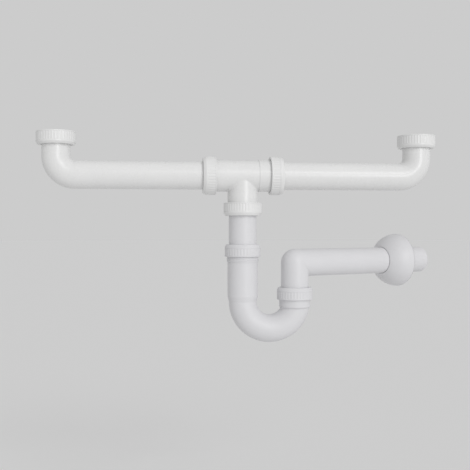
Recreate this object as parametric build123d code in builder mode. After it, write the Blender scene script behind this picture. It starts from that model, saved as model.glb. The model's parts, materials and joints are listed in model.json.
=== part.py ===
from build123d import *
import os

# U trap for a double bowl sink. Two elbowed arms run from the sink outlets into a tee. A dip tube
# drops from the tee into the U bend, and an outlet bend leads from there through a wall rosette.
# The origin is the centre of the left inlet's sealing face, +X points to the right inlet, +Z is up.

# Pipe shared by the arms, the dip tube and the outlet bend
pipe_od = 40.0
pipe_wall = 1.8

# Inlet arms
inlet_spacing = 520.0
inlet_leg = 22.5            # straight length above the elbow, with the flange on it
arm_throat = 6.0            # radius on the inside of the elbow
flange_width = 3.0          # how far the flange stands out from the pipe
flange_thickness = 3.5
washer_thickness = 2.5
washer_overhang = 0.2       # washer beyond the flange's edge

# Sockets, seals and pipe ends
socket_clearance = 0.3      # pipe to socket bore, on the radius
socket_depth = 28.0         # tee socket mouth to its stop
pipe_end_gap = 4.0          # pipe end short of the socket's stop
flare_depth = 6.0           # cone at the socket's mouth, where the seal sits
mouth_wall = 1.2            # wall left at the mouth of the cone
seal_depth = 4.0            # how far the seal reaches into the cone
seal_fit = 0.1              # seal to pipe, on the radius
seal_clearance = 0.2        # seal to cone, mouth and nut
seal_inset = 0.6            # seal's head inside the thread's crest

# Tee
tee_shift = 3.5             # tee to the right of the middle between the inlets
tee_body_wall = 3.6         # body outside the tee's bore
tee_bore_step = 0.3         # tee's bore wider than the pipe's
tee_branch_step = 1.2       # branch slimmer than the run, inside and outside
tee_crotch = 3.0            # fillet between the branch and the run
tee_stop_margin = 1.9       # stop beyond the crossing body
tee_collar_lead = 1.5       # collar starts before the stop
tee_collar_wall = 2.5       # collar round the socket bores of the run
tee_branch_collar_wall = 1.5  # collar round the branch's socket bore
tee_thread_wall = 3.3       # thread's crest round the socket bore
tee_thread_length = 12.0

# Union and compression nuts
thread_clearance = 0.4      # thread's crest to the nut's bore, on the radius
thread_relief = 0.5         # undercut between the nut's thread and its cap
nut_hole_clearance = 0.6    # pipe to the hole in the nut's cap
nut_head_room = 1.5         # socket mouth to the cap
nut_taper = 2.0             # cap's end slimmer than its band, on the radius
nut_band = 2.4              # plain band between the ribs and the cap's taper
nut_rim = 1.6               # plain rim at the open end
nut_lead = 0.8              # bevel at the thread's start
rib_height = 0.5
rib_radius = 1.2
rib_root = 0.5              # rib ring let into the skirt
tee_nut_wall = 3.0
tee_nut_cap = 4.0
tee_nut_skirt = 13.0        # skirt over the socket, from its mouth
tee_nut_ribs = 42
inlet_nut_cap = 3.0
inlet_nut_skirt = 9.2       # skirt above the sealing face
inlet_nut_gap = 0.3         # flange to the cap
trap_nut_wall = 2.25
trap_nut_cap = 3.5
trap_nut_skirt = 12.5
trap_nut_ribs = 36

# U bend
dip_exposed = 41.0          # dip tube showing between the two nuts
dip_insertion = 43.0        # dip tube inside the sleeve
sleeve_spare = 23.5         # sleeve bore below the dip tube's end
sleeve_taper = 3.0          # cone from the sleeve's bore to the bend's bore
sleeve_shoulder = 7.5       # cone from the sleeve's outside to the bend's outside
sleeve_wall = 1.5
trap_thread_wall = 2.3
trap_thread_length = 20.4
trap_throat = 37.5          # clear width between the two legs of the bend
bend_wall = 2.0
outlet_socket_rise = 15.0   # outlet socket's mouth above the bend's centre
outlet_socket_depth = 20.5
outlet_socket_inset = 1.6   # outlet socket's axis inside the bend's leg, so that they are flush outside
outlet_collar_floor = 4.6   # collar below the socket's stop
outlet_collar_bevel = 2.2

# Outlet bend and rosette
outlet_rise = 40.5          # outlet axis above the socket's mouth
outlet_length = 251.0       # from the leg's axis to the open end
outlet_swing = 27.0         # degrees from +X towards the wall
spigot_length = 50.0        # plain end that goes into the wall
mark_width = 1.5            # insertion mark behind the plain end
mark_depth = 0.3
rosette_stand = 50.0        # rosette's rim from the open end
rosette_reach = 20.8        # rim beyond the hole, on the radius
rosette_height = 33.0
rosette_bulge = 5.2         # dome beyond a straight cone
rosette_wall = 1.8
rosette_clearance = 0.3     # pipe to the rosette's hole, on the radius

# Radii
pipe_r = pipe_od / 2
pipe_bore_r = pipe_r - pipe_wall
flange_r = pipe_r + flange_width
socket_r = pipe_r + socket_clearance
seal_r = pipe_r + seal_fit
nut_hole_r = pipe_r + nut_hole_clearance
tee_bore_r = pipe_bore_r + tee_bore_step
tee_body_r = tee_bore_r + tee_body_wall
tee_branch_bore_r = tee_bore_r - tee_branch_step
tee_branch_r = tee_body_r - tee_branch_step
tee_collar_r = socket_r + tee_collar_wall
tee_branch_collar_r = socket_r + tee_branch_collar_wall
tee_thread_r = socket_r + tee_thread_wall
trap_thread_r = socket_r + trap_thread_wall
sleeve_r = socket_r + sleeve_wall
bend_bore_r = pipe_r - bend_wall
rosette_hole_r = pipe_r + rosette_clearance
rosette_r = rosette_hole_r + rosette_reach

# Places along the run and down the drop
arm_bend_r = pipe_r + arm_throat
inlet_drop = washer_thickness + inlet_leg + arm_bend_r
inlet_head_room = washer_thickness + flange_thickness + inlet_nut_gap
tee_stop = tee_body_r + tee_stop_margin
tee_mouth = tee_stop + socket_depth
pipe_end = tee_stop + pipe_end_gap
arm_z = -inlet_drop
tee_x = inlet_spacing / 2 + tee_shift
lower_nut_face = arm_z - tee_mouth - nut_head_room - tee_nut_cap
trap_mouth_z = lower_nut_face - dip_exposed - trap_nut_cap - nut_head_room
sleeve_bore = dip_insertion + sleeve_spare
sleeve_length = sleeve_bore + sleeve_taper + sleeve_shoulder
bend_z = trap_mouth_z - sleeve_length
trap_width = trap_throat + pipe_od
outlet_x = tee_x + trap_width - outlet_socket_inset
outlet_mouth_z = bend_z + outlet_socket_rise
outlet_collar = outlet_socket_depth + outlet_collar_floor
outlet_insertion = outlet_socket_depth - pipe_end_gap
outlet_leg = outlet_insertion + outlet_rise

# Seats: each lies on a socket's mouth, and its z axis points the way the pipe leaves the socket
left_inlet = Plane((0, 0, 0), x_dir=(1, 0, 0), z_dir=(0, 0, -1))
right_inlet = Plane((inlet_spacing, 0, 0), x_dir=(1, 0, 0), z_dir=(0, 0, -1))
left_socket = Plane((tee_x - tee_mouth, 0, arm_z), x_dir=(0, 1, 0), z_dir=(-1, 0, 0))
right_socket = Plane((tee_x + tee_mouth, 0, arm_z), x_dir=(0, 1, 0), z_dir=(1, 0, 0))
lower_socket = Plane((tee_x, 0, arm_z - tee_mouth), x_dir=(1, 0, 0), z_dir=(0, 0, -1))
trap_inlet = Plane((tee_x, 0, trap_mouth_z), x_dir=(1, 0, 0), z_dir=(0, 0, 1))
trap_outlet = Plane((outlet_x, 0, outlet_mouth_z), x_dir=(1, 0, 0), z_dir=(0, 0, 1))
outlet_way = Vector(1, 0, 0).rotate(Axis.Z, outlet_swing)
knee = Vector(outlet_x, 0, outlet_mouth_z + outlet_rise)
outlet_run = Plane(knee, x_dir=(0, 0, 1), z_dir=outlet_way)
rosette_seat = Plane(
    knee + outlet_way * (outlet_length - rosette_stand), x_dir=(0, 0, 1), z_dir=-outlet_way
)


def axial_plane(seat):
    """Plane through a seat's axis: local x is the radius, local y the height along the axis."""
    return Plane(seat.origin, x_dir=seat.x_dir, z_dir=-seat.y_dir)


def seat_axis(seat):
    return Axis(seat.origin, seat.z_dir)


def socket_bore(thread_r, depth):
    """Half section of a socket's bore: a straight bore with a cone at its mouth."""
    return [(0, 0), (thread_r - mouth_wall, 0), (socket_r, -flare_depth), (socket_r, -depth), (0, -depth)]


def save(piece, label):
    piece.part.label = label
    export_step(piece.part, f"parts/{label}.step")


def make_arm(label, inlet_x, end_x):
    """Elbowed pipe with a flange at its top, from an inlet to the tee."""
    with BuildPart() as arm:
        with BuildLine() as route:
            FilletPolyline(
                (inlet_x, 0, -washer_thickness), (inlet_x, 0, arm_z), (end_x, 0, arm_z), radius=arm_bend_r
            )
        with BuildSketch(Plane(route.line @ 0, z_dir=route.line % 0)):
            Circle(pipe_r)
            Circle(pipe_bore_r, mode=Mode.SUBTRACT)
        sweep()
        with BuildSketch(Plane((inlet_x, 0, -washer_thickness))):
            Circle(flange_r)
            Circle(pipe_bore_r, mode=Mode.SUBTRACT)
        extrude(amount=-flange_thickness)
    save(arm, label)


def make_washer(label, seat):
    """Flat washer between the arm's flange and the sink outlet."""
    with BuildPart() as washer:
        with BuildSketch(seat):
            Circle(flange_r + washer_overhang)
            Circle(pipe_bore_r, mode=Mode.SUBTRACT)
        extrude(amount=washer_thickness)
    save(washer, label)


def make_nut(label, seat, thread_r, wall, skirt, head_room, cap, ribs):
    """Ribbed nut: a tapered cap with a hole for the pipe, and a skirt with the thread."""
    grip_r = thread_r + wall
    nut_r = grip_r + rib_height
    outer_face = head_room + cap
    band_face = head_room - nut_band
    rim_face = nut_rim - skirt
    with BuildPart() as nut:
        with BuildSketch(axial_plane(seat)):
            with BuildLine():
                Polyline(
                    (nut_hole_r, head_room),
                    (nut_hole_r, outer_face),
                    (nut_r - nut_taper, outer_face),
                    (nut_r, head_room),
                    (nut_r, band_face),
                    (grip_r, band_face),
                    (grip_r, rim_face),
                    (nut_r, rim_face),
                    (nut_r, -skirt),
                    (thread_r + nut_lead, -skirt),
                    (thread_r, nut_lead - skirt),
                    (thread_r, 0),
                    (thread_r + thread_relief, 0),
                    (thread_r + thread_relief, head_room),
                    close=True,
                )
            make_face()
        revolve(axis=seat_axis(seat))
        with BuildSketch(seat.offset(rim_face)):
            Circle(grip_r)
            with PolarLocations(nut_r - rib_radius, ribs):
                Circle(rib_radius)
            Circle(grip_r - rib_root, mode=Mode.SUBTRACT)
        extrude(amount=band_face - rim_face)
    save(nut, label)


def make_seal(label, seat, thread_r):
    """Cone seal: it fills the cone at a socket's mouth and grips the pipe."""
    mouth_r = thread_r - mouth_wall
    slope = (mouth_r - socket_r) / flare_depth
    tip_r = mouth_r - slope * seal_depth - seal_clearance
    neck_r = mouth_r - seal_clearance
    head_r = thread_r - seal_inset
    head_face = nut_head_room - seal_clearance
    with BuildPart() as seal:
        with BuildSketch(axial_plane(seat)):
            with BuildLine():
                Polyline(
                    (seal_r, -seal_depth),
                    (tip_r, -seal_depth),
                    (neck_r, 0),
                    (neck_r, seal_clearance),
                    (head_r, seal_clearance),
                    (head_r, head_face),
                    (seal_r, head_face),
                    close=True,
                )
            make_face()
        revolve(axis=seat_axis(seat))
    save(seal, label)


os.makedirs("parts", exist_ok=True)

# Arms, washers and union nuts at the two inlets
make_arm("left_arm", 0, tee_x - pipe_end)
make_arm("right_arm", inlet_spacing, tee_x + pipe_end)
for side, seat in (("left", left_inlet), ("right", right_inlet)):
    make_washer(f"{side}_inlet_washer", seat)
    make_nut(
        f"{side}_inlet_nut",
        seat,
        tee_thread_r + thread_clearance,
        tee_nut_wall,
        inlet_nut_skirt,
        inlet_head_room,
        inlet_nut_cap,
        tee_nut_ribs,
    )

# Tee: a straight run with a branch below, and a threaded socket at each end
with BuildPart() as tee:
    with BuildSketch(right_socket.offset(-tee_mouth)):
        Circle(tee_body_r)
    extrude(amount=tee_mouth - tee_thread_length, both=True)
    with BuildSketch(lower_socket.offset(-tee_mouth)):
        Circle(tee_branch_r)
    extrude(amount=tee_mouth - tee_thread_length)
    crossing = tee.edges().filter_by(GeomType.CIRCLE, reverse=True).filter_by(GeomType.LINE, reverse=True)
    fillet(crossing, radius=tee_crotch)
    for seat, collar_r in (
        (left_socket, tee_collar_r), (right_socket, tee_collar_r), (lower_socket, tee_branch_collar_r)
    ):
        with BuildSketch(seat.offset(-socket_depth - tee_collar_lead)):
            Circle(collar_r)
        extrude(amount=socket_depth + tee_collar_lead - tee_thread_length)
    for seat in (left_socket, right_socket, lower_socket):
        with BuildSketch(seat.offset(-tee_thread_length)):
            Circle(tee_thread_r)
        extrude(amount=tee_thread_length)
    with BuildSketch(right_socket.offset(-tee_mouth)):
        Circle(tee_bore_r)
    extrude(amount=tee_stop, both=True, mode=Mode.SUBTRACT)
    with BuildSketch(lower_socket.offset(-tee_mouth)):
        Circle(tee_branch_bore_r)
    extrude(amount=tee_stop, mode=Mode.SUBTRACT)
    for seat in (left_socket, right_socket, lower_socket):
        with BuildSketch(axial_plane(seat)):
            with BuildLine():
                Polyline(*socket_bore(tee_thread_r, socket_depth), close=True)
            make_face()
        revolve(axis=seat_axis(seat), mode=Mode.SUBTRACT)
save(tee, "tee_body")

# Compression nuts and cone seals on the tee
for side, seat in (("left", left_socket), ("right", right_socket), ("lower", lower_socket)):
    make_nut(
        f"{side}_tee_nut",
        seat,
        tee_thread_r + thread_clearance,
        tee_nut_wall,
        tee_nut_skirt,
        nut_head_room,
        tee_nut_cap,
        tee_nut_ribs,
    )
    make_seal(f"{side}_tee_seal", seat, tee_thread_r)

# Dip tube: from the tee's lower socket down into the U bend's sleeve
with BuildPart() as dip_tube:
    with BuildSketch(lower_socket.offset(pipe_end - tee_mouth)):
        Circle(pipe_r)
        Circle(pipe_bore_r, mode=Mode.SUBTRACT)
    extrude(amount=arm_z - pipe_end - trap_mouth_z + dip_insertion)
save(dip_tube, "dip_tube")

# U bend: a long sleeve, a half turn and a short socket
half_turn = Axis((tee_x + trap_width / 2, 0, bend_z), (0, -1, 0))
with BuildPart() as u_bend:
    with BuildSketch(axial_plane(trap_inlet)):
        with BuildLine():
            Polyline(
                (0, 0),
                (trap_thread_r, 0),
                (trap_thread_r, -trap_thread_length),
                (sleeve_r, -trap_thread_length),
                (sleeve_r, sleeve_shoulder - sleeve_length),
                (pipe_r, -sleeve_length),
                (0, -sleeve_length),
                close=True,
            )
        make_face()
    revolve(axis=seat_axis(trap_inlet))
    with BuildSketch(trap_inlet.offset(-sleeve_length)):
        Circle(pipe_r)
    revolve(axis=half_turn, revolution_arc=180)
    with BuildSketch(axial_plane(trap_outlet)):
        with BuildLine():
            Polyline(
                (0, 0),
                (trap_thread_r, 0),
                (trap_thread_r, outlet_collar_bevel - outlet_collar),
                (trap_thread_r - outlet_collar_bevel, -outlet_collar),
                (0, -outlet_collar),
                close=True,
            )
        make_face()
    revolve(axis=seat_axis(trap_outlet))
    with BuildSketch(axial_plane(trap_inlet)):
        with BuildLine():
            Polyline(
                (0, 0),
                (trap_thread_r - mouth_wall, 0),
                (socket_r, -flare_depth),
                (socket_r, -sleeve_bore),
                (bend_bore_r, -sleeve_bore - sleeve_taper),
                (bend_bore_r, -sleeve_length),
                (0, -sleeve_length),
                close=True,
            )
        make_face()
    revolve(axis=seat_axis(trap_inlet), mode=Mode.SUBTRACT)
    with BuildSketch(trap_inlet.offset(-sleeve_length)):
        Circle(bend_bore_r)
    revolve(axis=half_turn, revolution_arc=180, mode=Mode.SUBTRACT)
    with BuildSketch(axial_plane(trap_outlet)):
        with BuildLine():
            Polyline(*socket_bore(trap_thread_r, outlet_socket_depth), close=True)
        make_face()
    revolve(axis=seat_axis(trap_outlet), mode=Mode.SUBTRACT)
save(u_bend, "u_bend")

# Compression nuts and cone seals on the U bend
for side, seat in (("inlet", trap_inlet), ("outlet", trap_outlet)):
    make_nut(
        f"trap_{side}_nut",
        seat,
        trap_thread_r + thread_clearance,
        trap_nut_wall,
        trap_nut_skirt,
        nut_head_room,
        trap_nut_cap,
        trap_nut_ribs,
    )
    make_seal(f"trap_{side}_seal", seat, trap_thread_r)

# Outlet bend: a short leg, a knee rounded like a ball, and a long run to the wall
with BuildPart() as outlet_bend:
    for radius, mode in ((pipe_r, Mode.ADD), (pipe_bore_r, Mode.SUBTRACT)):
        with BuildSketch(trap_outlet.offset(-outlet_insertion)):
            Circle(radius)
        extrude(amount=outlet_leg, mode=mode)
        with BuildSketch(outlet_run):
            Circle(radius)
        extrude(amount=outlet_length, mode=mode)
        with Locations(knee):
            Sphere(radius, mode=mode)
    with BuildSketch(outlet_run.offset(outlet_length - spigot_length - mark_width)):
        Circle(pipe_r)
        Circle(pipe_r - mark_depth, mode=Mode.SUBTRACT)
    extrude(amount=mark_width, mode=Mode.SUBTRACT)
save(outlet_bend, "outlet_bend")

# Rosette: a thin dome with a hole for the outlet run, its rim against the wall
with BuildPart() as wall_rosette:
    with BuildSketch(axial_plane(rosette_seat)):
        with BuildLine():
            outside = SagittaArc((rosette_r, 0), (rosette_hole_r, rosette_height), -rosette_bulge)
            inside = SagittaArc(
                (rosette_r - rosette_wall, 0), (rosette_hole_r, rosette_height - rosette_wall), -rosette_bulge
            )
            Line(outside @ 0, inside @ 0)
            Line(outside @ 1, inside @ 1)
        make_face()
    revolve(axis=seat_axis(rosette_seat))
save(wall_rosette, "wall_rosette")
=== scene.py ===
# %% [markdown]
# # A U trap for a double bowl sink
#
# The object is a waste trap of white plastic. Two elbowed arms come from the bowls of the sink and
# meet in a tee. Under the tee hangs a dip tube, then the U bend that holds the water, and from there
# an outlet bend runs through a domed rosette into the wall. Ribbed nuts close every joint.
#
# The solids come ready made and in place. This script gives them their finish, and makes again those
# pieces whose surface holds more than the solids do: rounded edges, soft ribs and real threads.

# %% Load the frame
import bpy
import json
import numpy as np
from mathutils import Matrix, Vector

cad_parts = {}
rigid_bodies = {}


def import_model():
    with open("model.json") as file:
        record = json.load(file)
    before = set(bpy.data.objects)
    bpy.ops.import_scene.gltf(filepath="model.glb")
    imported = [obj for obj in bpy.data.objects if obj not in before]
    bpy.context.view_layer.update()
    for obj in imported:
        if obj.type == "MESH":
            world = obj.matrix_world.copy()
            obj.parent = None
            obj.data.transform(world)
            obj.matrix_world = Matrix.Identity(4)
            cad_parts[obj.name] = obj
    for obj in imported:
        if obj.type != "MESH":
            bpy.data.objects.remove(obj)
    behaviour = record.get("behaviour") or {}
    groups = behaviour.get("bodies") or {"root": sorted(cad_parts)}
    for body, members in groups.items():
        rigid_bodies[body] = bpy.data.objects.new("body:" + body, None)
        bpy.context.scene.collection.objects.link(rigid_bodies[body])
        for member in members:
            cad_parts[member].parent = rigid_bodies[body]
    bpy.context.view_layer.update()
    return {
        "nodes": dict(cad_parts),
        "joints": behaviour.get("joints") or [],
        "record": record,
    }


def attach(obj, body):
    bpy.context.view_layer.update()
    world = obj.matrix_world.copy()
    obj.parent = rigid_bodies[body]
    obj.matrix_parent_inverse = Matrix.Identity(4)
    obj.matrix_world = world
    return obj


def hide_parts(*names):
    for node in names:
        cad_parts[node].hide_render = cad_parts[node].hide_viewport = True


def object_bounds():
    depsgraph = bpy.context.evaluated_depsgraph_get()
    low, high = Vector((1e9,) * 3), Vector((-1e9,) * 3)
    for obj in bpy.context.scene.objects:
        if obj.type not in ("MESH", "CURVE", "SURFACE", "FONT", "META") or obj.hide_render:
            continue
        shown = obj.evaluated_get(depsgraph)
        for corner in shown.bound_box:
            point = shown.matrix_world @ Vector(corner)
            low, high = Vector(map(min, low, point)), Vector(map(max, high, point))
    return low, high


for leftover in list(bpy.data.objects):
    bpy.data.objects.remove(leftover)
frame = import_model()

# %% [markdown]
# ## Where a piece sits
#
# Every node already has its place in its vertices. A turned piece, such as a nut, only needs its axis
# to be found again. The solid's own points are projected on the axis: the lowest and highest give its
# two ends, and the middle of what is left gives the centre line. So no place is written down twice.

# %% Read a turned piece's seat from its solid
mm = 0.001


def seat_of(node, way):
    """Centre of the node's near end, its length and its outer radius about an axis along `way`.
    Along = vertex . way; across = vertex - along * way; the centre line is the middle of across."""
    mesh = frame["nodes"][node].data
    points = np.empty(len(mesh.vertices) * 3)
    mesh.vertices.foreach_get("co", points)
    points = points.reshape(-1, 3)
    way = np.asarray(way, float)
    along = points @ way
    across = points - along[:, None] * way
    middle = (across.min(0) + across.max(0)) / 2
    radius = np.linalg.norm(across - middle, axis=1).max()
    return middle + along.min() * way, along.max() - along.min(), radius


for checked, way in (("left_tee_nut", (-1, 0, 0)), ("trap_inlet_nut", (0, 0, 1))):
    base, length, radius = seat_of(checked, way)
    print(f"{checked}: length {length / mm:.1f} mm, radius {radius / mm:.2f} mm")

# %% [markdown]
# ## A surface from an outline
#
# Nuts and the rosette are turned shapes: one closed outline carried round an axis. The outline is
# drawn as corners (height, radius), the way a moulder draws it, and then two array steps make it real:
# each corner gets a small arc, because moulded plastic has no sharp edge, and long straights are
# divided, so that ribs and threads have points to move. Bevel and Screw modifiers could make a plain
# ring too, but not one whose radius changes from point to point. The grid wraps both ways, so the mesh
# is closed with no seam and no pole.

# %% Round an outline and divide its straights
arc_points = 5
side_share = 0.45


def rounded_outline(corners, radius):
    """Closed outline with an arc at each corner: (1 - t)^2 start + 2 t (1 - t) corner + t^2 stop. Start and
    stop lie on the two sides, as far from the corner as the radius, or a share of the shorter side."""
    corners = np.asarray(corners, float)
    back = np.roll(corners, 1, 0) - corners
    ahead = np.roll(corners, -1, 0) - corners
    back_length = np.linalg.norm(back, axis=1)
    ahead_length = np.linalg.norm(ahead, axis=1)
    tangent = np.minimum(radius, side_share * np.minimum(back_length, ahead_length))[:, None]
    start = corners + back / back_length[:, None] * tangent
    stop = corners + ahead / ahead_length[:, None] * tangent
    t = np.linspace(0, 1, arc_points)[:, None, None]
    arcs = (1 - t) ** 2 * start + 2 * t * (1 - t) * corners + t ** 2 * stop
    return arcs.transpose(1, 0, 2).reshape(-1, 2)


def divided(outline, step):
    """The same closed outline with points no further apart than `step`, by linear interpolation."""
    closed = np.vstack([outline, outline[:1]])
    spans = np.linalg.norm(np.diff(closed, axis=0), axis=1)
    counts = np.maximum(1, np.ceil(spans / step)).astype(int)
    first = np.repeat(np.arange(len(spans)), counts)
    share = np.arange(counts.sum()) - np.repeat(np.cumsum(counts) - counts, counts)
    share = (share / np.repeat(counts, counts))[:, None]
    return closed[first] * (1 - share) + closed[first + 1] * share


sample = divided(rounded_outline([(0, 1), (1, 1), (1, 2), (0, 2)], radius=0.1), step=0.25)
print("a unit square, rounded and divided, has", len(sample), "points")

# %% Carry an outline round an axis


def turned(outline, base, way, radial):
    """Outline (height, radius) carried round an axis. At turn t a point lies at
    base + height * way + (radius + radial) * (cos t * side + sin t * other), where side and other stand
    square to the axis. `radial` has a value for each row and each turn."""
    way = np.asarray(way, float)
    side = np.cross(way, (0.0, 1.0, 0.0) if abs(way[1]) < 0.5 else (1.0, 0.0, 0.0))
    side /= np.linalg.norm(side)
    other = np.cross(way, side)
    columns = radial.shape[1]
    turn = np.arange(columns) / columns * 2 * np.pi
    ring = np.cos(turn)[:, None] * side + np.sin(turn)[:, None] * other
    height, radius = outline.T
    axis_points = base + height[:, None, None] * way
    return axis_points + (radius[:, None] + radial)[:, :, None] * ring


sample_ring = turned(sample, np.zeros(3), (0, 0, 1), radial=np.zeros((len(sample), 24)))
print("the square carried round 24 places is a grid of", sample_ring.shape)

# %% Put a grid of points into a mesh


def surface_piece(name, points, body, replaced=None, closed_ends=False):
    """Mesh of the grid points[row, column]: a quad between each four neighbours, columns wrapping. Rows
    wrap too, or else both ends get a flat cap. The signed volume, the sum of a . (b x c) / 6, tells
    whether the faces have to be turned round to look outwards."""
    rows, columns = points.shape[:2]
    index = np.arange(rows * columns).reshape(rows, columns)
    below = np.roll(index, -1, 0)
    quads = np.stack([index, below, np.roll(below, -1, 1), np.roll(index, -1, 1)], -1)
    quads = (quads[:-1] if closed_ends else quads).reshape(-1, 4)
    caps = [index[0], index[-1, ::-1]] if closed_ends else []
    flat = points.reshape(-1, 3)
    a, b, c, d = flat[quads.T]
    volume = np.einsum("ij,ij->", a, np.cross(b, c) + np.cross(c, d)) / 6
    order = 1 if volume > 0 else -1
    faces = quads[:, ::order].tolist() + [cap[::order].tolist() for cap in caps]
    mesh = bpy.data.meshes.new(name)
    mesh.from_pydata(flat.tolist(), [], faces)
    mesh.shade_smooth()
    piece = bpy.data.objects.new(name, mesh)
    bpy.context.scene.collection.objects.link(piece)
    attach(piece, body)
    if replaced:
        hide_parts(replaced)
    print(f"{name}: {len(faces)} faces, {abs(volume) / mm ** 3 / 1000:.2f} cm3")
    return piece


# %% [markdown]
# ## Ribbed nuts with a real thread
#
# Seven nuts hold the trap together. Each is a tapered cap with a hole for the pipe, and a skirt
# with ribs for the hand. The ribs are a wave round the grip, as softly rounded as a mould leaves them.
# Inside, the thread is a wave on the bore whose phase climbs one pitch for each turn. Both are only a
# change of radius over the grid, which is why the nut is worked out as a surface and not cut by
# booleans.

# %% Sizes that all nuts share
rib_height = 0.38 * mm
band = 2.4 * mm              # plain ring between the ribs and the cap
rim = 1.6 * mm               # plain ring at the open end
taper = 2.0 * mm             # cap's end slimmer than its band, on the radius
lead = 0.8 * mm              # chamfer where the thread starts
relief = 0.5 * mm            # groove behind the thread
hole_radius = 20.6 * mm      # hole for the pipe
thread_pitch = 3.0 * mm
thread_depth = 0.9 * mm
edge_radius = 0.5 * mm
outline_step = 0.7 * mm
points_per_rib = 8
same_radius = 0.05 * mm      # points of the outline this close to a radius lie on it


def rib_wave(columns, ribs):
    """Height of the ribs round the nut: h * (0.5 + 0.5 * cos(ribs * turn)), a soft moulded wave."""
    turn = np.arange(columns) / columns * 2 * np.pi
    return rib_height * (0.5 + 0.5 * np.cos(ribs * turn))


def thread_wave(height, columns):
    """Depth of the thread: half a cosine wave, whose phase is height / pitch + turn / (2 pi)."""
    turn = np.arange(columns) / columns
    return thread_depth * (0.5 - 0.5 * np.cos(2 * np.pi * (height[:, None] / thread_pitch + turn)))


print(f"ribs {rib_height / mm:.2f} mm high, thread {thread_depth / mm:.1f} mm deep")

# %% Make the nuts


def make_nut(node, body, way, wall, cap, head_room, ribs):
    """Nut outline from the open end (height 0) to the capped end, with ribs outside and thread inside.
    The thread grows over its first pitch and stops short of the groove behind it."""
    base, length, nut_r = seat_of(node, way)
    grip = nut_r - rib_height
    bore = grip - wall
    shoulder = length - cap
    thread_stop = shoulder - head_room
    band_start = shoulder - band
    corners = [
        (shoulder, hole_radius), (length, hole_radius), (length, nut_r - taper), (shoulder, nut_r),
        (band_start, nut_r), (band_start, grip), (rim, grip), (rim, nut_r), (0, nut_r),
        (0, bore + lead), (lead, bore), (thread_stop, bore), (thread_stop, bore + relief),
        (shoulder, bore + relief),
    ]
    outline = divided(rounded_outline(corners, edge_radius), outline_step)
    height, radius = outline.T
    columns = ribs * points_per_rib
    on_grip = np.isclose(radius, grip, atol=same_radius) & (height > rim) & (height < band_start)
    on_bore = np.isclose(radius, bore, atol=same_radius) & (height < thread_stop)
    run_in = np.clip((height - lead) / thread_pitch, 0, 1)
    run_out = np.clip((thread_stop - height) / lead, 0, 1)
    radial = on_grip[:, None] * rib_wave(columns, ribs)
    radial = radial + (on_bore * run_in * run_out)[:, None] * thread_wave(height, columns)
    points = turned(outline, base, way, radial)
    return surface_piece(f"{node}_ribbed", points, body, node)


body_of = {node: body for body, nodes in frame["record"]["behaviour"]["bodies"].items() for node in nodes}
nut_kinds = {
    "inlet": dict(wall=3.0 * mm, cap=3.0 * mm, head_room=6.3 * mm, ribs=42),
    "tee": dict(wall=3.0 * mm, cap=4.0 * mm, head_room=1.5 * mm, ribs=42),
    "trap": dict(wall=2.25 * mm, cap=3.5 * mm, head_room=1.5 * mm, ribs=36),
}
nut_ways = {
    "left_inlet_nut": ("inlet", (0, 0, -1)),
    "right_inlet_nut": ("inlet", (0, 0, -1)),
    "left_tee_nut": ("tee", (-1, 0, 0)),
    "right_tee_nut": ("tee", (1, 0, 0)),
    "lower_tee_nut": ("tee", (0, 0, -1)),
    "trap_inlet_nut": ("trap", (0, 0, 1)),
    "trap_outlet_nut": ("trap", (0, 0, 1)),
}
nuts = [
    make_nut(node, body_of[node], way, **nut_kinds[kind]) for node, (kind, way) in nut_ways.items()
]

# %% [markdown]
# ## Where the U bend's thread runs out
#
# Below its upper nut the U bend shows the last turns of its thread. A thread is a profile carried along
# a helix: here a bead, half sunk in the wall, that swells from a point and shrinks to one again. A Screw
# modifier gives a helix as well, but its two ends would be cut off square.

# %% Thread run-out on the U bend
bead_height = 0.6 * mm
bead_width = 1.5 * mm
bead_root = 22.6 * mm        # radius of the wall that the bead stands on
bead_top = -1.6 * mm         # start of the bead, counted from the nut's lower end
bead_turns = 1.75
swell_turns = 1 / 3
thinnest = 0.02
points_per_turn = 120
points_round = 12


def make_thread_end(name, nut, body):
    """Bead along a helix under the nut: at turn q it has dropped by pitch * q and stands at angle -2 pi q.
    Its section is an ellipse, half of it in the wall, that grows and shrinks over a third of a turn."""
    base, _, _ = seat_of(nut, (0, 0, 1))
    q = np.linspace(0, bead_turns, int(bead_turns * points_per_turn))[:, None]
    s = np.arange(points_round)[None, :] / points_round * 2 * np.pi
    swell = np.clip(np.minimum(q, bead_turns - q) / swell_turns, thinnest, 1)
    radius = bead_root + bead_height * swell * np.sin(s)
    height = bead_top - thread_pitch * q + bead_width / 2 * swell * np.cos(s)
    angle = -2 * np.pi * q
    points = base + np.stack([radius * np.cos(angle), radius * np.sin(angle), height], -1)
    return surface_piece(name, points, body, closed_ends=True)


thread_end = make_thread_end("u_bend_thread_end", "trap_inlet_nut", body_of["u_bend"])

# %% [markdown]
# ## The wall rosette
#
# The rosette is a thin dome that hides the hole in the wall. Its section is two shallow arcs, one for
# each side of the sheet. The rim and the hole are rounded, so the light draws a fine line there. One arc
# with a Solidify modifier comes close, but its lips would stay square.

# %% Lines of the rosette's section
dome_wall = 1.8 * mm
dome_bulge = 5.2 * mm
dome_hole = 20.3 * mm
dome_points = 40
dome_columns = 192
lip_points = 9
lip_share = 0.35             # height of a lip as a share of half the wall


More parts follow.
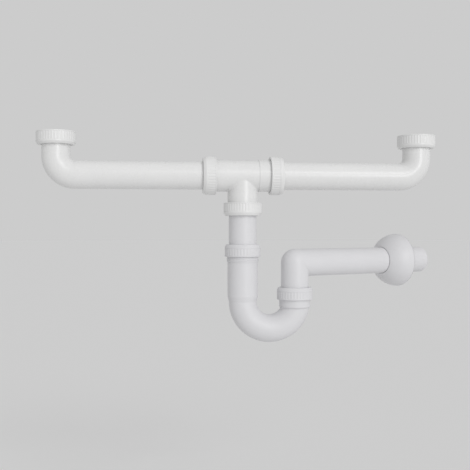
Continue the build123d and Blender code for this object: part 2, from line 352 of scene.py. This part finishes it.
def bulged(first, last, bulge):
    """Arc from first to last that stands out from its chord by bulge. With half chord h its radius is
    R = (h^2 + bulge^2) / (2 bulge), and at angle t it lies at R sin t along and R cos t across."""
    first, last = np.asarray(first, float), np.asarray(last, float)
    half = np.linalg.norm(last - first) / 2
    along = (last - first) / (2 * half)
    across = np.array([along[1], -along[0]])
    across *= np.sign(across.sum())
    radius = (half ** 2 + bulge ** 2) / (2 * bulge)
    reach = np.arcsin(half / radius)
    t = np.linspace(-reach, reach, dome_points)[:, None]
    return (first + last) / 2 + along * radius * np.sin(t) + across * (radius * np.cos(t) - radius + bulge)


def rounded_ends(outside, inside):
    """Outside line, a rounded lip, inside line and another lip: each lip is a flattened half turn about
    the middle of the two ends that it joins."""
    lips = []
    for first, last in ((outside[-1], inside[0]), (inside[-1], outside[0])):
        middle = (first + last) / 2
        arm = first - middle
        t = np.linspace(0, np.pi, lip_points)[1:-1, None]
        turned_arm = np.stack([-arm[1], arm[0]])
        lips.append(middle + arm * np.cos(t) + turned_arm * np.sin(t) * lip_share)
    return np.vstack([outside, lips[0], inside, lips[1]])


print(f"dome wall {dome_wall / mm:.1f} mm, bulge {dome_bulge / mm:.1f} mm")

# %% Make the rosette


def make_rosette(node, way):
    """Dome outline (height, radius): an arc from the rim to the hole, and back inside it by one wall."""
    base, rise, rim_r = seat_of(node, way)
    outside = bulged((0, rim_r), (rise, dome_hole), dome_bulge)
    inside = bulged((0, rim_r - dome_wall), (rise - dome_wall, dome_hole), dome_bulge)[::-1]
    outline = rounded_ends(outside, inside)
    points = turned(outline, base, way, np.zeros((len(outline), dome_columns)))
    return surface_piece(f"{node}_dome", points, body_of[node], node)


rosette_joint = next(joint for joint in frame["joints"] if joint["name"] == "rosette_slide")
rosette_way = -np.asarray(rosette_joint["axis"], float)
rosette_way /= np.linalg.norm(rosette_way)
print("rosette slides along", rosette_joint["axis"])
rosette = make_rosette("wall_rosette", rosette_way)

# %% [markdown]
# ## White plastic
#
# The whole trap is white polypropylene. The arms and the tee get a clear white, and the trap's pieces
# under them a darker, cooler white and a duller gloss. Up close neither is one flat white: the moulding
# flows leave slow patches a shade apart, the gloss changes too, and the skin has a very fine grain.
# Three noises give these: colour in patches about 3 cm wide, gloss in patches of 1 cm and a grain of
# 0.4 mm. They read Object coordinates, because those are in metres on every piece and need no unwrapping.

# %% Finish for moulded and drawn plastic
plastic_ior = 1.49
specular_level = 0.4
patch_depth = 0.008
patch_range = (0.35, 0.65)   # part of the noise that runs from one shade to the other
gloss_range = (0.3, 0.7)     # part of the noise that runs from one roughness to the other
gloss_step = 2.5             # gloss patches are this much finer than the colour's
grain_scale = 2600.0
seam_width = 0.35 * mm
range_sockets = ("From Min", "From Max", "To Min", "To Max")


def plastic(name, tone, dullness, roughness, patch_scale, grain_depth, seam_height=0.0):
    """Colour = tone * (1 -+ patch_depth) by slow noise; roughness + dullness spreads by noise; bump = grain
    noise times its depth, plus a ridge of seam_height where |y| < seam_width, the mould's parting line."""
    material = bpy.data.materials.new(name)
    material.use_nodes = True
    nodes, links = material.node_tree.nodes, material.node_tree.links
    shader = nodes["Principled BSDF"]
    shader.inputs["IOR"].default_value = plastic_ior
    shader.inputs["Specular IOR Level"].default_value = specular_level
    place = nodes.new("ShaderNodeTexCoord")

    def noise(scale, detail):
        node = nodes.new("ShaderNodeTexNoise")
        node.inputs["Scale"].default_value = scale
        node.inputs["Detail"].default_value = detail
        links.new(place.outputs["Object"], node.inputs["Vector"])
        return node.outputs["Fac"]

    def spread(value, source, target):
        node = nodes.new("ShaderNodeMapRange")
        node.interpolation_type = "SMOOTHSTEP"
        for socket, number in zip(range_sockets, (*source, *target)):
            node.inputs[socket].default_value = number
        links.new(value, node.inputs["Value"])
        return node.outputs["Result"]

    colour = nodes.new("ShaderNodeMix")
    colour.data_type = "RGBA"
    colour.inputs["A"].default_value = (*(tone * (1 - patch_depth)), 1)
    colour.inputs["B"].default_value = (*(tone * (1 + patch_depth)), 1)
    patch = spread(noise(patch_scale, detail=3.0), patch_range, (0.0, 1.0))
    links.new(patch, colour.inputs["Factor"])
    links.new(colour.outputs["Result"], shader.inputs["Base Color"])
    dulled = [level + dullness for level in roughness]
    gloss = spread(noise(patch_scale * gloss_step, detail=2.0), gloss_range, dulled)
    links.new(gloss, shader.inputs["Roughness"])
    bump = nodes.new("ShaderNodeBump")
    bump.inputs["Distance"].default_value = grain_depth
    links.new(noise(grain_scale, detail=2.0), bump.inputs["Height"])
    if seam_height > 0:
        split = nodes.new("ShaderNodeSeparateXYZ")
        links.new(place.outputs["Object"], split.inputs["Vector"])
        size = nodes.new("ShaderNodeMath")
        size.operation = "ABSOLUTE"
        links.new(split.outputs["Y"], size.inputs[0])
        ridge = spread(size.outputs["Value"], (0.0, seam_width), (1.0, 0.0))
        seam = nodes.new("ShaderNodeBump")
        seam.inputs["Distance"].default_value = seam_height
        links.new(ridge, seam.inputs["Height"])
        links.new(seam.outputs["Normal"], bump.inputs["Normal"])
    links.new(bump.outputs["Normal"], shader.inputs["Normal"])
    print("finish", name)
    return material


# %% Mix the finishes
shades = {
    "arm": dict(tone=np.array((0.803, 0.803, 0.801)), dullness=0.0),
    # the trap's tone is darker and bluer than the arms'
    "trap": dict(tone=np.array((0.733, 0.73, 0.747)), dullness=0.15),
}
kinds = {
    "pipe_white": dict(roughness=(0.26, 0.29), patch_scale=30.0, grain_depth=0.002 * mm),
    "fitting_white": dict(
        roughness=(0.26, 0.30), patch_scale=36.0, grain_depth=0.002 * mm, seam_height=0.15 * mm
    ),
    "nut_white": dict(roughness=(0.30, 0.36), patch_scale=48.0, grain_depth=0.003 * mm),
}
finishes = {
    (slot, shade): plastic(f"{slot}_{shade}", **look, **kind)
    for slot, kind in kinds.items() for shade, look in shades.items()
}
seal_finish = plastic(
    "seal_rubber_black", tone=np.array((0.03, 0.03, 0.031)), dullness=0.3, roughness=(0.3, 0.4),
    patch_scale=60.0, grain_depth=0.03 * mm
)

# %% Give every piece its finish
trap_nodes = ("dip_tube", "u_bend", "outlet_bend", "wall_rosette", "trap_inlet_nut", "trap_outlet_nut")
trap_bodies = {body_of[node] for node in trap_nodes}


def finish_of(slot, body):
    """The slot's finish, in the trap's white for the bodies of the trap and in the arms' for the rest."""
    if slot == "seal_rubber":
        return seal_finish
    return finishes[slot, "trap" if body in trap_bodies else "arm"]


for node in frame["nodes"].values():
    slot = node.material_slots[0].material.name.split(".")[0]
    node.material_slots[0].material = finish_of(slot, body_of[node.name])
for node, piece in zip(nut_ways, nuts):
    piece.data.materials.append(finish_of("nut_white", body_of[node]))
rosette.data.materials.append(finish_of("fitting_white", body_of["wall_rosette"]))
thread_end.data.materials.append(finish_of("fitting_white", body_of["u_bend"]))
print("trap bodies:", sorted(trap_bodies))

# %% [markdown]
# ## Floor and sky
#
# A wide pale floor lies under the trap, far enough down that its shadow is soft. A curved backdrop could
# hide the line where a floor ends. Here the sky does that: the camera sees it in the floor's own grey, and
# the two meet without a line, while the light that it gives is set by itself.

# %% Floor
floor_drop = 0.36
floor_half = 40.0
floor_white = 0.909
floor_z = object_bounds()[0][2] - floor_drop
floor_mesh = bpy.data.meshes.new("floor")
floor_square = [(-1, -1), (1, -1), (1, 1), (-1, 1)]
floor_corners = [(x * floor_half, y * floor_half, floor_z) for x, y in floor_square]
floor_mesh.from_pydata(floor_corners, [], [(0, 1, 2, 3)])
floor = bpy.data.objects.new("floor", floor_mesh)
bpy.context.scene.collection.objects.link(floor)
floor_paint = bpy.data.materials.new("pale_floor")
floor_paint.use_nodes = True
floor_shader = floor_paint.node_tree.nodes["Principled BSDF"]
floor_shader.inputs["Base Color"].default_value = (floor_white, floor_white, floor_white, 1)
floor_shader.inputs["Roughness"].default_value = 1.0
floor_shader.inputs["Specular IOR Level"].default_value = 0.0
floor_mesh.materials.append(floor_paint)
print(f"floor at {floor_z:.3f} m")

# %% Sky
backdrop_grey = 0.604
sky_light = 0.503


def shown_or_gathered(tree, shown, gathered):
    """Grey with the value `shown` for rays from the camera, a mirror or glass, and `gathered` for rays
    that only collect light. The largest of Light Path's three flags, 0 or 1, picks between the two."""
    path = tree.nodes.new("ShaderNodeLightPath")
    seen = path.outputs["Is Camera Ray"]
    for flag in ("Is Glossy Ray", "Is Transmission Ray"):
        either = tree.nodes.new("ShaderNodeMath")
        either.operation = "MAXIMUM"
        tree.links.new(seen, either.inputs[0])
        tree.links.new(path.outputs[flag], either.inputs[1])
        seen = either.outputs["Value"]
    level = tree.nodes.new("ShaderNodeMapRange")
    level.inputs["To Min"].default_value = gathered
    level.inputs["To Max"].default_value = shown
    tree.links.new(seen, level.inputs["Value"])
    return level.outputs["Result"]


world = bpy.data.worlds.new("studio")
bpy.context.scene.world = world
world.use_nodes = True
sky_grey = shown_or_gathered(world.node_tree, backdrop_grey, sky_light)
world.node_tree.links.new(sky_grey, world.node_tree.nodes["Background"].inputs["Color"])
print(f"sky shows {backdrop_grey}, lights with {sky_light}")

# %% [markdown]
# ## Lamps
#
# The key light is two lamps side by side, in front, above and a little to the right, and it draws a long
# streak on the arms. A third lamp, level with the trap, lifts the lower halves of the pipes, and a wide
# one hangs over it. Area lamps would fade with distance and leave a bright pool on the floor. So all four
# are suns with a broad disc, which light the floor evenly, and the sky fills the shadows.

# %% Hang the lamps
lamps = {
    "key": dict(azimuth=27.0, elevation=26.0, spread=16.0, energy=0.44),
    "key_left": dict(azimuth=11.0, elevation=26.0, spread=16.0, energy=0.25),
    "front": dict(azimuth=22.0, elevation=2.0, spread=20.0, energy=0.82),
    "top": dict(azimuth=30.0, elevation=65.0, spread=60.0, energy=0.19),
}


def aim(towards):
    """Rotation whose local -Z points along `towards` and whose local Y leans to the world's Z."""
    return Vector(towards).to_track_quat("-Z", "Y").to_euler()


def bearing(azimuth, elevation):
    """Unit vector, azimuth counted from -Y towards +X: (cos e sin a, -cos e cos a, sin e)."""
    azimuth, elevation = np.radians((azimuth, elevation))
    return np.array(
        [np.cos(elevation) * np.sin(azimuth), -np.cos(elevation) * np.cos(azimuth), np.sin(elevation)]
    )


for name, lamp in lamps.items():
    light = bpy.data.lights.new(name, "SUN")
    light.energy = lamp["energy"]
    light.angle = np.radians(lamp["spread"])
    holder = bpy.data.objects.new(name, light)
    holder.rotation_euler = aim(-bearing(lamp["azimuth"], lamp["elevation"]))
    bpy.context.scene.collection.objects.link(holder)
    print(name, lamp)

# %% [markdown]
# ## Camera
#
# The camera stands a little over a metre in front of the arms, left of the middle, and looks slightly to
# the right. Its focal length is known in pixels of a square picture, and the lens follows from that and
# the width of the sensor. The view transform is Standard, so that a colour shows as it is written.

# %% Set up the camera and the view
photo_width = 470
focal_pixels = 780.06
camera_place = np.array([137.5, -1114.3, -129.3]) * mm
yaw = 5.887
pitch = -0.344
sensor_width = 36.0
farthest_seen = 200.0
camera = bpy.data.cameras.new("camera")
camera.sensor_width = sensor_width
camera.lens = focal_pixels * sensor_width / photo_width
camera.clip_end = farthest_seen
camera_object = bpy.data.objects.new("camera", camera)
camera_object.location = camera_place
camera_object.rotation_euler = aim(bearing(180 - yaw, pitch))
bpy.context.scene.collection.objects.link(camera_object)
bpy.context.scene.camera = camera_object
bpy.context.scene.view_settings.view_transform = "Standard"
print(f"lens {camera.lens:.1f} mm")
